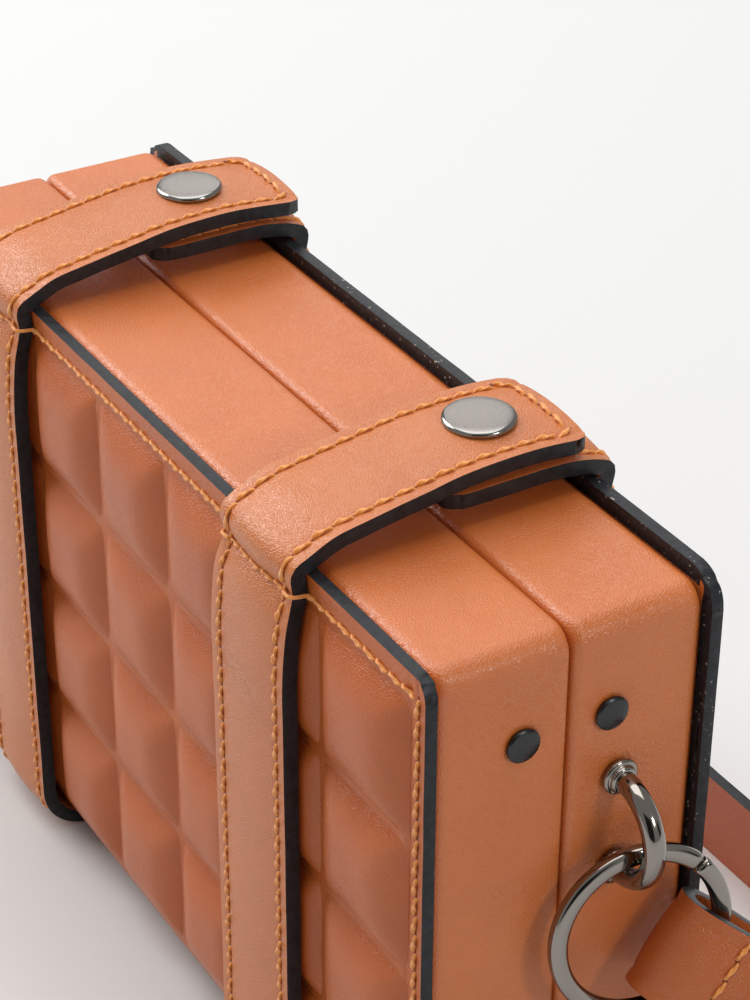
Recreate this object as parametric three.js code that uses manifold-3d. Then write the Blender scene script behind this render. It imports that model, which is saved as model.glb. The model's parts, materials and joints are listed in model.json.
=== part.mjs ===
import * as THREE from 'three';
import { mergeVertices } from 'three/addons/utils/BufferGeometryUtils.js';
import Module from 'manifold-3d';

const wasm = await Module();
wasm.setup();

// A quilted box bag in millimetres. X runs along the bag, Y to its back, Z up. Two hollow half
// boxes meet at a seam and turn apart about a hinge under the bottom. Two straps close them over
// the top. The pieces are made with the seam in the plane Y = 0. At the end they move together
// along Y, so that the origin is under the middle of the whole, with its strap behind it.

// Box
const boxLength = 200;
const boxDepth = 56.5;
const frameHeight = 117.3;
const frameWall = 3;
const frameCornerRadius = 4;
const frameEdgeRadius = 2.6;
const seamEdgeRadius = 1.8;
const boardThickness = 2.3;
const panelOverhang = 1.2;
const frontRise = 0.4;
const backRise = 1.5;
const frontCornerRadius = 3.5;
const backCornerRadius = 6.5;
const panelTuck = 10;
const clearance = 0.3;

// Quilting
const quiltColumns = 7;
const quiltRows = 4;
const quiltSideMargin = 4.4;
const quiltTopMargin = 5.5;
const rowPitch = 27.6;
const grooveWidth = 0.5;
const padHeight = 2.8;
const pressedPadHeight = 2.35;
const padRoot = 0.6;

// Straps over the box
const strapWidth = 24.6;
const strapThickness = 2.8;
const strapSpacing = 105.2;
const strapRise = 9.5;
const strapBendRadius = 9.6;
const strapCornerRadius = 3;
const strapEndFromSeam = 8;
const pinchLength = 20;
const turnRadius = 1.9;

// Snaps
const snapFromBack = 16.7;
const capRadius = 6.5;
const capHeight = 1.6;
const snapPostRadius = 1.6;
const socketRadius = 3.9;
const socketThickness = 0.55;
const studRadius = 3.6;
const studThickness = 0.4;
const seatGap = 0.25;

// Rivets in the ends
const rivetBelowTop = 18.5;
const frontRivetFromSeam = 9.2;
const backRivetFromSeam = 7.9;
const rivetRadius = 3.1;
const rivetHeight = 1;
const rivetShankRadius = 1.2;
const rivetTailThickness = 0.6;

// Wire bails, rings and shoulder strap at the ends
const bailFromSeam = 10;
const bailBelowTop = 41.6;
const bailSpread = 9.4;
const bailReach = 11.1;
const bailWireRadius = 1.8;
const flangeRadius = 3.3;
const flangeThickness = 1;
const collarRadius = 2.5;
const collarThickness = 0.9;
const bailPegRadius = 1.5;
const ringRadius = 15.1;
const ringWireRadius = 1.7;
const ringTurn = -10.2;
const ringTilt = 7.4;
const ringOutFromEnd = 7.5;
const gateStart = -65;
const gateEnd = 45;
const shoulderWidth = 18.4;
const shoulderThickness = 2.5;
const shoulderBehind = 57;
const foldLean = 36;
const foldSlide = 0.8;
const flapLength = 28;
const foldOpening = 3;

// Hinge under the seam
const hingeLength = 150;
const knuckles = 5;
const barrelRadius = 1.5;
const hingePinRadius = 0.7;
const boreRadius = 0.95;
const leafThickness = 0.8;
const leafReach = 7.5;

// Heights that the sizes above give
const panelBottom = strapThickness + clearance;
const frameBottom = panelBottom + boardThickness + clearance;
const frameTop = frameBottom + frameHeight;
const frontTop = frameTop + frontRise;
const backTop = frameTop + backRise;
const frameLength = boxLength - 2 * panelOverhang;
const frameDepth = boxDepth / 2 - boardThickness - 1.5 * clearance;
const panelBend = frameEdgeRadius + clearance + boardThickness;
const halfDepth = boxDepth / 2;

const leather = new THREE.MeshStandardMaterial({ color: 0xb8704a, roughness: 0.5, metalness: 0 });
const strapLeather = new THREE.MeshStandardMaterial({ color: 0xbd7750, roughness: 0.5, metalness: 0 });
const quiltLeather = new THREE.MeshStandardMaterial({ color: 0xb26a43, roughness: 0.45, metalness: 0 });
const satinNickel = new THREE.MeshStandardMaterial({ color: 0x8e8a86, roughness: 0.35, metalness: 1 });
const blackNickel = new THREE.MeshStandardMaterial({ color: 0x3a3c3e, roughness: 0.25, metalness: 1 });
const gunmetal = new THREE.MeshStandardMaterial({ color: 0x77726c, roughness: 0.12, metalness: 1 });

const bag = new THREE.Group();

function addPart(name, geometry, material) {
  const mesh = new THREE.Mesh(geometry, material);
  mesh.name = name;
  bag.add(mesh);
}

// Keeps only the places of the vertices, joins those that meet and turns the faces outward.
function closed(geometry) {
  const plain = geometry.clone();
  plain.deleteAttribute('normal');
  plain.deleteAttribute('uv');
  const merged = mergeVertices(plain, 1e-4);
  const p = merged.attributes.position;
  const index = merged.index.array;
  const corners = [new THREE.Vector3(), new THREE.Vector3(), new THREE.Vector3()];
  let volume = 0;
  for (let i = 0; i < index.length; i += 3) {
    corners.forEach((corner, k) => corner.fromBufferAttribute(p, index[i + k]));
    volume += corners[0].dot(corners[1].cross(corners[2]));
  }
  if (volume < 0) index.reverse();
  merged.computeVertexNormals();
  return merged;
}

function solid(geometry) {
  const plain = closed(geometry);
  return new wasm.Manifold(new wasm.Mesh({
    numProp: 3,
    vertProperties: new Float32Array(plain.attributes.position.array),
    triVerts: new Uint32Array(plain.index.array),
  }));
}

function surface(body) {
  const mesh = body.getMesh();
  const geometry = new THREE.BufferGeometry();
  geometry.setAttribute('position', new THREE.BufferAttribute(mesh.vertProperties, 3));
  geometry.setIndex(new THREE.BufferAttribute(mesh.triVerts, 1));
  geometry.computeVertexNormals();
  return geometry;
}

// A shape drawn in Y and Z, drawn out along X from one place to another.
function alongX(shape, from, to) {
  const geometry = new THREE.ExtrudeGeometry(shape, { depth: to - from, bevelEnabled: false, curveSegments: 4 });
  const [x, y, z] = [[1, 0, 0], [0, 1, 0], [0, 0, 1]].map((axis) => new THREE.Vector3(...axis));
  geometry.applyMatrix4(new THREE.Matrix4().makeBasis(y, z, x));
  return geometry.translate(from, 0, 0);
}

// A shape drawn in X and Z, drawn out along Y.
function alongY(shape, from, to) {
  const geometry = new THREE.ExtrudeGeometry(shape, { depth: to - from, bevelEnabled: false, curveSegments: 4 });
  return geometry.rotateX(Math.PI / 2).translate(0, to, 0);
}

// A shape drawn in X and Y, drawn out upward.
function upward(shape, from, to) {
  const geometry = new THREE.ExtrudeGeometry(shape, { depth: to - from, bevelEnabled: false, curveSegments: 4 });
  return geometry.translate(0, 0, from);
}

function rodAlongX(radius, from, to, y, z, sides = 10) {
  const rod = new THREE.CylinderGeometry(radius, radius, to - from, sides);
  return rod.rotateZ(Math.PI / 2).translate((from + to) / 2, y, z);
}

function halfTurn(geometry) {
  return geometry.clone().rotateZ(Math.PI);
}

// Points around a rounded rectangle, counterclockwise, with the same count for every size.
function roundedLoop(width, height, radius) {
  const steps = 4;
  const points = [];
  for (let corner = 0; corner < 4; corner += 1) {
    const sx = corner === 0 || corner === 3 ? 1 : -1;
    const sz = corner < 2 ? 1 : -1;
    for (let step = 0; step <= steps; step += 1) {
      const angle = (corner + step / steps) * Math.PI / 2;
      points.push([
        sx * (width / 2 - radius) + radius * Math.cos(angle),
        sz * (height / 2 - radius) + radius * Math.sin(angle),
      ]);
    }
  }
  return points;
}

// Half boxes: a wall whose section, given as inset from the outside and depth from the panel,
// runs around a rounded rectangle.
function arcPoints(centre, radius, fromDegrees, toDegrees, steps) {
  return Array.from({ length: steps + 1 }, (_, i) => {
    const angle = THREE.MathUtils.degToRad(fromDegrees + (toDegrees - fromDegrees) * i / steps);
    return [centre[0] + radius * Math.cos(angle), centre[1] + radius * Math.sin(angle)];
  });
}

function frameBody() {
  const innerEdge = frameWall / 10;
  const section = [
    ...arcPoints([frameEdgeRadius, frameEdgeRadius], frameEdgeRadius, 270, 180, 3),
    ...arcPoints([seamEdgeRadius, frameDepth - seamEdgeRadius], seamEdgeRadius, 180, 90, 3),
    [frameWall - innerEdge, frameDepth],
    [frameWall, frameDepth - innerEdge],
    [frameWall, innerEdge],
    [frameWall - innerEdge, 0],
  ];
  const loops = section.map(([inset]) => roundedLoop(
    frameLength - 2 * inset,
    frameHeight - 2 * inset,
    Math.max(frameCornerRadius - inset, frameWall / 4),
  ));
  const around = loops[0].length;
  const grid = new THREE.PlaneGeometry(1, 1, around, section.length);
  const seamPlane = -clearance / 2;
  for (let row = 0; row <= section.length; row += 1) {
    const k = row % section.length;
    for (let column = 0; column <= around; column += 1) {
      const [x, z] = loops[k][column % around];
      const y = seamPlane - frameDepth + section[k][1];
      grid.attributes.position.setXYZ(row * (around + 1) + column, x, y, z + frameBottom + frameHeight / 2);
    }
  }
  return solid(grid);
}

function makeFrames() {
  const end = frameLength / 2;
  const through = [end - 2 * frameWall, end + frameWall];
  const rivetZ = frameTop - rivetBelowTop;
  const bailZ = frontTop - bailBelowTop;
  let front = frameBody();
  let back = solid(halfTurn(surface(front)));
  for (const side of [-1, 1]) {
    const [from, to] = through.map((x) => side * x).sort((a, b) => a - b);
    const rivetBore = rivetShankRadius + clearance;
    const pegBore = bailPegRadius + clearance;
    front = front.subtract(solid(rodAlongX(rivetBore, from, to, -frontRivetFromSeam, rivetZ)));
    back = back.subtract(solid(rodAlongX(rivetBore, from, to, backRivetFromSeam, rivetZ)));
    for (const z of [bailZ - bailSpread, bailZ + bailSpread]) {
      back = back.subtract(solid(rodAlongX(pegBore, from, to, bailFromSeam, z)));
    }
  }
  addPart('front_half_box', surface(front), leather);
  addPart('back_half_box', surface(back), leather);
}

// Panels: boards whose lower edge turns under the box. A is the distance inward from the face.
function board(top, cornerRadius) {
  const profile = new THREE.Shape();
  profile.moveTo(-halfDepth, top);
  profile.lineTo(-halfDepth, panelBottom + panelBend);
  profile.absarc(-halfDepth + panelBend, panelBottom + panelBend, panelBend, Math.PI, 1.5 * Math.PI);
  profile.lineTo(-halfDepth + panelTuck, panelBottom);
  profile.lineTo(-halfDepth + panelTuck, panelBottom + boardThickness);
  profile.lineTo(-halfDepth + panelBend, panelBottom + boardThickness);
  const inner = panelBend - boardThickness;
  profile.absarc(-halfDepth + panelBend, panelBottom + panelBend, inner, 1.5 * Math.PI, Math.PI, true);
  profile.lineTo(-halfDepth + boardThickness, top);
  const outline = new THREE.Shape();
  const right = boxLength / 2;
  outline.moveTo(-right, 0);
  outline.lineTo(right, 0);
  outline.lineTo(right, top - cornerRadius);
  outline.absarc(right - cornerRadius, top - cornerRadius, cornerRadius, 0, Math.PI / 2);
  outline.lineTo(-right + cornerRadius, top);
  outline.absarc(-right + cornerRadius, top - cornerRadius, cornerRadius, Math.PI / 2, Math.PI);
  const plate = solid(alongX(profile, -boxLength, boxLength));
  return plate.intersect(solid(alongY(outline, -boxDepth, 0)));
}

// A padded square: a turned profile with four sides. Columns: share of the half width, share
// of the height.
const padProfile = [[1, 0], [0.86, 0.45], [0.64, 0.85], [0.34, 0.97], [0, 1]];

function pad(width, height, rise) {
  const corner = Math.SQRT1_2;
  const points = [new THREE.Vector2(0, -padRoot), new THREE.Vector2(corner, -padRoot)];
  for (const [out, up] of padProfile) points.push(new THREE.Vector2(out * corner, up * rise));
  const lathe = new THREE.LatheGeometry(points, 4, Math.PI / 4);
  return lathe.rotateX(Math.PI).scale(width, 1, height);
}

function makePanels() {
  const pitch = (boxLength - 2 * quiltSideMargin) / quiltColumns;
  let front = board(frontTop, frontCornerRadius);
  for (let column = 0; column < quiltColumns; column += 1) {
    const x = -boxLength / 2 + quiltSideMargin + (column + 0.5) * pitch;
    const underStrap = Math.abs(Math.abs(x) - strapSpacing / 2) < pitch / 2;
    const rise = underStrap ? pressedPadHeight : padHeight;
    for (let row = 0; row < quiltRows; row += 1) {
      const z = frontTop - quiltTopMargin - (row + 0.5) * rowPitch;
      const shape = pad(pitch - grooveWidth, rowPitch - grooveWidth, rise);
      front = front.add(solid(shape.translate(x, -halfDepth, z)));
    }
  }
  for (const x of [-strapSpacing / 2, strapSpacing / 2]) {
    const half = strapWidth / 2 + clearance;
    const pressed = strip(frontStrapLine(), strapThickness + 2 * clearance);
    front = front.subtract(solid(alongX(pressed, x - half, x + half)));
  }
  addPart('front_panel', surface(front), quiltLeather);
  addPart('back_panel', halfTurn(surface(board(backTop, backCornerRadius))), leather);
}

// A strip of even thickness along a line of points in Y and Z.
function strip(centreLine, thickness) {
  const offset = (sign) => centreLine.map((point, i) => {
    const before = centreLine[Math.max(i - 1, 0)];
    const after = centreLine[Math.min(i + 1, centreLine.length - 1)];
    const along = after.clone().sub(before).normalize();
    return new THREE.Vector2(-along.y, along.x).multiplyScalar(sign * thickness / 2).add(point);
  });
  return new THREE.Shape([...offset(1), ...offset(-1).reverse()]);
}

// The straps' line over the top. Columns: share of the box's depth, share of the straps' rise.
const overTop = [
  [0.03, 0.32], [0.095, 0.5], [0.19, 0.61], [0.3, 0.72], [0.4, 0.81],
  [0.515, 0.92], [0.64, 0.97], [0.8, 0.97], [0.96, 0.88],
];
const tabOverTop = [
  [0.042, 0.42], [0.113, 0.5], [0.2, 0.525], [0.29, 0.52], [0.388, 0.515], [0.464, 0.52], [0.54, 0.56],
];

// Both kinds of strap start under the bottom, follow a panel up, turn around its top edge and
// run over the top. Here the panel's face is at the front.
function strapLine(standOff, bend, top, table) {
  const face = halfDepth + standOff + strapThickness / 2;
  const pinched = halfDepth + clearance + strapThickness / 2;
  const path = new THREE.Path();
  path.moveTo(-strapEndFromSeam, strapThickness / 2);
  path.lineTo(-face + bend, strapThickness / 2);
  path.absarc(-face + bend, strapThickness / 2 + bend, bend, 1.5 * Math.PI, Math.PI, true);
  path.lineTo(-face, top - pinchLength);
  const turn = arcPoints([-halfDepth, top], turnRadius, 180, 100, 2);
  path.splineThru([
    [-face + (face - pinched) * 0.3, top - pinchLength * 0.55],
    [-pinched, top - pinchLength * 0.2],
    ...turn,
    ...table.map(([back, up]) => [-halfDepth + back * boxDepth, frontTop + up * strapRise]),
  ].map(([y, z]) => new THREE.Vector2(y, z)));
  return path.getPoints(2);
}

function frontStrapLine() {
  return strapLine(pressedPadHeight + clearance, strapBendRadius, frontTop, overTop);
}

// Cuts the two corners at the end that lies over the top round, seen from above.
function roundedEnd(body, x, endY, beyond) {
  const r = strapCornerRadius;
  const half = strapWidth / 2;
  let result = body;
  for (const side of [-1, 1]) {
    const corner = new THREE.Shape();
    const cx = x + side * (half - r);
    corner.moveTo(x + side * (half + r), endY + beyond);
    corner.lineTo(cx, endY + beyond);
    for (const [px, py] of arcPoints([0, 0], r, 90, 0, 4)) corner.lineTo(cx + side * px, endY - r + py);
    corner.lineTo(x + side * (half + r), endY - r);
    result = result.subtract(solid(upward(corner, frameTop, frontTop + 3 * strapRise)));
  }
  return result;
}

function turned(points, sides) {
  const profile = points.map(([radius, height]) => new THREE.Vector2(radius, height));
  return new THREE.LatheGeometry(profile, sides).rotateX(Math.PI / 2);
}

function makeStraps() {
  const strapPath = frontStrapLine();
  const tabPath = strapLine(clearance, panelBend + clearance + strapThickness / 2, backTop, tabOverTop);
  const snapY = halfDepth - snapFromBack;
  const heightAt = (line, y) => {
    const next = line.findIndex((point, i) => i > 0 && point.x >= y && point.y > frontTop);
    const [a, b] = [line[next - 1], line[next]];
    return a.y + (b.y - a.y) * (y - a.x) / (b.x - a.x);
  };
  const strapZ = heightAt(strapPath, snapY);
  const tabZ = heightAt(tabPath, -snapY);
  const bore = (z, x, y) => solid(new THREE.CylinderGeometry(
    snapPostRadius + clearance, snapPostRadius + clearance, 2 * strapThickness, 10,
  ).rotateX(Math.PI / 2).translate(x, y, z));
  const face = strapThickness / 2 + seatGap;
  for (const [side, x] of [['left', -strapSpacing / 2], ['right', strapSpacing / 2]]) {
    const edges = [x - strapWidth / 2, x + strapWidth / 2];
    const strapBody = solid(alongX(strip(strapPath, strapThickness), ...edges));
    const strapEnd = strapPath[strapPath.length - 1].x;
    const strap = roundedEnd(strapBody, x, strapEnd, strapWidth).subtract(bore(strapZ, x, snapY));
    addPart(`front_strap_${side}`, surface(strap), strapLeather);

    const tabBody = solid(alongX(strip(tabPath, strapThickness), ...edges));
    const tabEnd = tabPath[tabPath.length - 1].x;
    const tab = roundedEnd(tabBody, x, tabEnd, strapWidth).subtract(bore(tabZ, x, -snapY));
    addPart(`back_tab_${side}`, halfTurn(surface(tab)).translate(2 * x, 0, 0), strapLeather);

    const cap = turned([
      [0, -face - socketThickness], [socketRadius, -face - socketThickness], [socketRadius, -face],
      [snapPostRadius, -face], [snapPostRadius, face], [capRadius * 0.95, face],
      [capRadius, face + capHeight * 0.25], [capRadius, face + capHeight * 0.5],
      [capRadius * 0.93, face + capHeight * 0.72], [capRadius * 0.5, face + capHeight * 0.94],
      [0, face + capHeight],
    ], 20);
    addPart(`snap_cap_${side}`, closed(cap.translate(x, snapY, strapZ)), satinNickel);

    const stud = turned([
      [0, -face - 2 * studThickness], [studRadius, -face - 2 * studThickness], [studRadius, -face],
      [snapPostRadius, -face], [snapPostRadius, face], [studRadius, face],
      [studRadius, face + studThickness], [0, face + studThickness],
    ], 16);
    addPart(`snap_stud_${side}`, closed(stud.translate(x, snapY, tabZ)), blackNickel);
  }
}

// Low domed rivets through the ends of both half boxes, near the top.
function makeRivets() {
  const profile = [
    [0, -frameWall - clearance - rivetTailThickness],
    [rivetRadius * 0.8, -frameWall - clearance - rivetTailThickness],
    [rivetRadius * 0.8, -frameWall - clearance],
    [rivetShankRadius, -frameWall - clearance],
    [rivetShankRadius, clearance],
    [rivetRadius, clearance],
    [rivetRadius * 0.9, clearance + rivetHeight * 0.5],
    [rivetRadius * 0.5, clearance + rivetHeight * 0.9],
    [0, clearance + rivetHeight],
  ];
  for (const [side, sign] of [['left', -1], ['right', 1]]) {
    for (const [half, y] of [['front', -frontRivetFromSeam], ['back', backRivetFromSeam]]) {
      const rivet = turned(profile, 12).rotateY(sign * Math.PI / 2);
      rivet.translate(sign * frameLength / 2, y, frameTop - rivetBelowTop);
      addPart(`end_rivet_${half}_${side}`, closed(rivet), blackNickel);
    }
  }
}

function circle(radius, sides) {
  return new THREE.Shape(Array.from({ length: sides }, (_, i) => {
    const angle = 2 * Math.PI * i / sides;
    return new THREE.Vector2(radius * Math.cos(angle), radius * Math.sin(angle));
  }));
}

function wire(points, radius, steps) {
  const path = new THREE.CatmullRomCurve3(points);
  return new THREE.ExtrudeGeometry(circle(radius, 8), { steps, extrudePath: path, bevelEnabled: false });
}

// A bail is a wire arch with a flanged foot at each end, riveted to the back half's end.
function makeBail(side, sign) {
  const end = frameLength / 2;
  const z = frontTop - bailBelowTop;
  const footOut = clearance + flangeThickness + collarThickness / 2;
  const arch = [];
  for (let i = 0; i <= 8; i += 1) {
    const angle = Math.PI * (0.5 - i / 8);
    const out = footOut + (bailReach - footOut) * Math.cos(angle);
    arch.push(new THREE.Vector3(sign * (end + out), bailFromSeam, z + bailSpread * Math.sin(angle)));
  }
  let body = solid(wire(arch, bailWireRadius, 10));
  for (const foot of [z - bailSpread, z + bailSpread]) {
    const parts = [
      [flangeRadius, clearance, clearance + flangeThickness],
      [collarRadius, clearance + flangeThickness / 2, clearance + flangeThickness + collarThickness],
      [bailPegRadius, -frameWall, clearance + flangeThickness / 2],
    ];
    for (const [radius, from, to] of parts) {
      const [a, b] = [sign * (end + from), sign * (end + to)].sort((p, q) => p - q);
      body = body.add(solid(rodAlongX(radius, a, b, bailFromSeam, foot, 12)));
    }
  }
  addPart(`ring_bail_${side}`, surface(body), gunmetal);
}

// The ring hangs in the bail. Its own directions: axis, across (to the back) and up.
function ringFrame(sign) {
  const turn = THREE.MathUtils.degToRad(ringTurn);
  const tilt = THREE.MathUtils.degToRad(ringTilt);
  const axis = new THREE.Vector3(sign * Math.cos(turn) * Math.cos(tilt), Math.sin(turn) * Math.cos(tilt), Math.sin(tilt));
  const up = new THREE.Vector3(0, 0, 1).addScaledVector(axis, -axis.z).normalize();
  const across = up.clone().cross(axis).multiplyScalar(sign);
  const hang = bailWireRadius + ringWireRadius + clearance;
  const centre = new THREE.Vector3(
    sign * (frameLength / 2 + ringOutFromEnd),
    bailFromSeam + ringRadius * 0.07,
    frontTop - bailBelowTop - bailSpread * 0.82 + hang - ringRadius * 0.995,
  );
  return { axis, up, across, centre };
}

function makeRing(side, sign) {
  const { up, across, centre } = ringFrame(sign);
  const gapAngle = THREE.MathUtils.radToDeg(2 * clearance / ringRadius);
  const arcs = [
    ['ring_gate', gateStart + gapAngle / 2, gateEnd - gapAngle / 2, 8],
    ['ring_body', gateEnd + gapAngle / 2, 360 + gateStart - gapAngle / 2, 20],
  ];
  for (const [name, from, to, steps] of arcs) {
    const points = arcPoints([0, 0], ringRadius, from, to, steps).map(([a, b]) => centre.clone()
      .addScaledVector(across, a)
      .addScaledVector(up, b));
    addPart(`${name}_${side}`, closed(wire(points, ringWireRadius, steps)), gunmetal);
  }
}

// The shoulder strap: one flat strap from ring to ring. At each ring it folds around the wire
// and lies back on itself. Between them it takes the plain way behind the bag, on its edge.
// Fold columns: out along the strap, off its face, both from the middle of the wire.
const foldMiddle = 0.95;
const foldPoints = (() => {
  const apart = (shoulderThickness + clearance) / 2;
  const bow = foldOpening + shoulderThickness / 2;
  const back = -foldOpening * 1.45;
  const half = [[flapLength, apart], [flapLength * 0.55, apart], [flapLength * 0.3, (apart + bow) / 2], [flapLength * 0.06, bow]];
  const turn = arcPoints([back, 0], bow, 270, 90, 4);
  return [
    ...half.map(([out, off]) => [out, foldMiddle - off]),
    ...turn.map(([out, off]) => [out, foldMiddle + off]),
    ...half.slice(1, 3).reverse().map(([out, off]) => [out, foldMiddle + off]),
  ];
})();

// The way behind the bag. Columns: beyond the box's end, share of the way to the run behind,
// share of the height left to come down, lean of the strap's width in degrees.
const wayBehind = [
  [31, 0.23, 0.66, 32], [43, 0.42, 0.46, 24], [54, 0.62, 0.26, 14], [59, 0.82, 0.09, 5],
  [52, 0.965, 0.01, 0], [38, 1, 0, 0], [10, 1, 0, 0], [-60, 1, 0, 0],
];

function makeShoulderStrap() {
  const end = boxLength / 2;
  const { axis, across, up, centre } = ringFrame(1);
  const lean = THREE.MathUtils.degToRad(foldLean);
  const widthWay = new THREE.Vector3(0, Math.sin(lean), Math.cos(lean));
  const pull = widthWay.clone().cross(axis).normalize();
  const middle = centre.clone().addScaledVector(pull, ringRadius).addScaledVector(widthWay, -foldSlide);
  const out = new THREE.Vector3(0.71, 0.58, -0.41);
  out.addScaledVector(widthWay, -out.dot(widthWay)).normalize();
  const off = out.clone().cross(widthWay);
  const stations = foldPoints.map(([a, b]) => ({
    place: middle.clone().addScaledVector(out, a).addScaledVector(off, b),
    lean: foldLean,
  }));
  const behind = halfDepth + shoulderBehind;
  const stand = shoulderWidth / 2;
  for (const [beyond, share, drop, degrees] of wayBehind) {
    stations.push({
      place: new THREE.Vector3(
        end + beyond,
        middle.y + share * (behind - middle.y),
        stand + drop * (middle.z - stand),
      ),
      lean: degrees,
    });
  }
  const mirrored = stations.map(({ place, lean: degrees }) => ({
    place: place.clone().multiply(new THREE.Vector3(-1, 1, 1)),
    lean: degrees,
  }));
  const all = [...stations, ...mirrored.reverse()];
  const path = new THREE.CatmullRomCurve3(all.map(({ place }) => place));
  const steps = 3 * (all.length - 1);
  const box = new THREE.BoxGeometry(steps, shoulderWidth, shoulderThickness, steps, 1, 1);
  const position = box.attributes.position;
  const vertex = new THREE.Vector3();
  for (let i = 0; i < position.count; i += 1) {
    vertex.fromBufferAttribute(position, i);
    const share = THREE.MathUtils.clamp(vertex.x / steps + 0.5, 0, 1);
    const station = share * (all.length - 1);
    const k = Math.min(Math.floor(station), all.length - 2);
    const degrees = THREE.MathUtils.lerp(all[k].lean, all[k + 1].lean, station - k);
    const angle = THREE.MathUtils.degToRad(degrees);
    const tangent = path.getTangent(share);
    const width = new THREE.Vector3(0, Math.sin(angle), Math.cos(angle));
    width.addScaledVector(tangent, -width.dot(tangent)).normalize();
    const normal = tangent.clone().cross(width);
    const place = path.getPoint(share).addScaledVector(width, vertex.y).addScaledVector(normal, vertex.z);
    position.setXYZ(i, place.x, place.y, Math.max(place.z, 0));
  }
  addPart('shoulder_strap', closed(box), strapLeather);
}

// The hinge under the seam: two leaves with turned knuckles on one pin.
function makeHinge() {
  const axisZ = frameBottom - clearance - barrelRadius;
  const leafTop = frameBottom - clearance;
  const pitch = hingeLength / knuckles;
  for (const [half, sign] of [['back', 1], ['front', -1]]) {
    const leafShape = new THREE.Shape();
    const inner = sign * (barrelRadius + clearance);
    leafShape.moveTo(inner, leafTop - leafThickness);
    leafShape.lineTo(sign * leafReach, leafTop - leafThickness);
    leafShape.lineTo(sign * leafReach, leafTop);
    leafShape.lineTo(inner, leafTop);
    let leaf = solid(alongX(leafShape, -hingeLength / 2, hingeLength / 2));
    for (let k = half === 'back' ? 0 : 1; k < knuckles; k += 2) {
      const from = -hingeLength / 2 + k * pitch + clearance / 2;
      const to = from + pitch - clearance;
      const web = new THREE.Shape();
      web.moveTo(0, leafTop - leafThickness);
      web.lineTo(2 * inner, leafTop - leafThickness);
      web.lineTo(2 * inner, leafTop);
      web.lineTo(0, leafTop);
      leaf = leaf.add(solid(alongX(web, from, to))).add(solid(rodAlongX(barrelRadius, from, to, 0, axisZ, 12)));
    }
    leaf = leaf.subtract(solid(rodAlongX(boreRadius, -hingeLength, hingeLength, 0, axisZ, 10)));
    addPart(`hinge_leaf_${half}`, surface(leaf), blackNickel);
  }
  const pin = rodAlongX(hingePinRadius, -hingeLength / 2, hingeLength / 2, 0, axisZ, 10);
  addPart('hinge_pin', closed(pin), blackNickel);
}

makeFrames();
makePanels();
makeStraps();
makeRivets();
for (const [side, sign] of [['left', -1], ['right', 1]]) {
  makeBail(side, sign);
  makeRing(side, sign);
}
makeShoulderStrap();
makeHinge();

const middle = new THREE.Box3().setFromObject(bag).getCenter(new THREE.Vector3());
for (const mesh of bag.children) mesh.geometry.translate(0, -middle.y, 0);

export default bag;
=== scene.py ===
# Looks of a quilted box bag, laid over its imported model.
import bisect
import json
import math

import bpy
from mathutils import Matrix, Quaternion, Vector, noise

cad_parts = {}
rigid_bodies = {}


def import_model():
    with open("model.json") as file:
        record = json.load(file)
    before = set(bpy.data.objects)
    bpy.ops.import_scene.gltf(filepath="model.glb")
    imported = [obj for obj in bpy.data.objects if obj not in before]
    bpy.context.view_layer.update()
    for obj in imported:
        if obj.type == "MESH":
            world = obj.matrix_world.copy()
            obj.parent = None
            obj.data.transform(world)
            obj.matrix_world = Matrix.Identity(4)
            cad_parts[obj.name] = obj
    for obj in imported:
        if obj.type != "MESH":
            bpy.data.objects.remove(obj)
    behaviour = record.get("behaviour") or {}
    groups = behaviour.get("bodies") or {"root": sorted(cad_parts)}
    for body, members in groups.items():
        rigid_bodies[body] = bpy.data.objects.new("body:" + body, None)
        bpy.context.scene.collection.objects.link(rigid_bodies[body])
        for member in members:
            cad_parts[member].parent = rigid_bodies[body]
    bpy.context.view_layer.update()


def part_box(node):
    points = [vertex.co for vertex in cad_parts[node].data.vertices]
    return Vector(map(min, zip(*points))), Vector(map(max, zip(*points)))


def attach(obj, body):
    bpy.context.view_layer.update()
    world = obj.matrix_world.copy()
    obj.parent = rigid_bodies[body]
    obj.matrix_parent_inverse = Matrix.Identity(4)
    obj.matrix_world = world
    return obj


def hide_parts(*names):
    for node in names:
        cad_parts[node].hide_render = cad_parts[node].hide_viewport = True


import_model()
mm = 0.001
print("frame loaded")


# Small helpers


def freshStart():
    if bpy.context.object and bpy.context.object.mode != "OBJECT":
        bpy.ops.object.mode_set(mode="OBJECT")
    bpy.ops.object.select_all(action="DESELECT")


def applied(piece, kind, **settings):
    bpy.context.view_layer.objects.active = piece
    modifier = piece.modifiers.new(kind.lower(), kind)
    for key, value in settings.items():
        setattr(modifier, key, value)
    bpy.ops.object.modifier_apply(modifier=modifier.name)


def settled(piece, body, slot, *nodes):
    piece.data.shade_smooth()
    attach(piece, body)
    if nodes:
        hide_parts(*nodes)


def chooseEdges(piece, wanted):
    for part in (*piece.data.vertices, *piece.data.edges, *piece.data.polygons):
        part.select = False
    for edge in piece.data.edges:
        edge.select = wanted(*(piece.data.vertices[i] for i in edge.vertices))
    bpy.context.tool_settings.mesh_select_mode = (False, True, False)
    bpy.ops.object.mode_set(mode="EDIT")


def onAllFaces(operation, **settings):
    bpy.ops.object.mode_set(mode="EDIT")
    bpy.ops.mesh.select_all(action="SELECT")
    operation(**settings)
    bpy.ops.object.mode_set(mode="OBJECT")


def hump(away, width):
    return math.exp(-((away / width) ** 2))


def placed(piece):
    freshStart()
    piece.select_set(True)
    bpy.context.view_layer.objects.active = piece
    bpy.ops.object.transform_apply(location=True, rotation=True, scale=True)


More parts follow.
